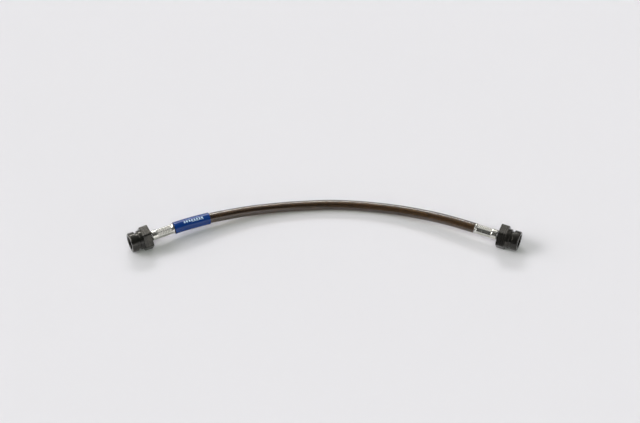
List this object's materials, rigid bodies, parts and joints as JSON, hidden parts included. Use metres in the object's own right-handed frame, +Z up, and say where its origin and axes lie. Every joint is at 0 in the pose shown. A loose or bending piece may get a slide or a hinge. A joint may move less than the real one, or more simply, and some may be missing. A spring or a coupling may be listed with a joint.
{
  "type": "hydraulic clutch hose",
  "caption": "Braided flexible hose in a gentle arc, smoked clear jacket, a crimped female fitting with hexagon and clip groove at each end and a plain sleeve near one end.",
  "frame": {"origin": "on the table, under the middle of the two fittings and ferrules taken together", "axes": "+X from the left fitting to the right one, +Y away from the viewer on the side the hose bulges to, +Z up"},
  "size_m": [0.3018, 0.054, 0.017],
  "materials": {
    "liner_ptfe": "milky, extruded",
    "braid_wire": "bright drawn stainless wire, woven",
    "smoked_jacket": "clear, smoked brown, glossy",
    "blue_sleeve": "shrunk on, semi gloss",
    "ferrule_steel": "satin, crimped",
    "black_zinc": "black plated steel, turned"
  },
  "bodies": {
    "root": {"liner": "liner_ptfe", "braid": "braid_wire", "jacket": "smoked_jacket", "id_sleeve": "blue_sleeve", "ferrule_left": "ferrule_steel", "ferrule_right": "ferrule_steel", "fitting_left": "black_zinc", "fitting_right": "black_zinc"}
  },
  "joints": []
}
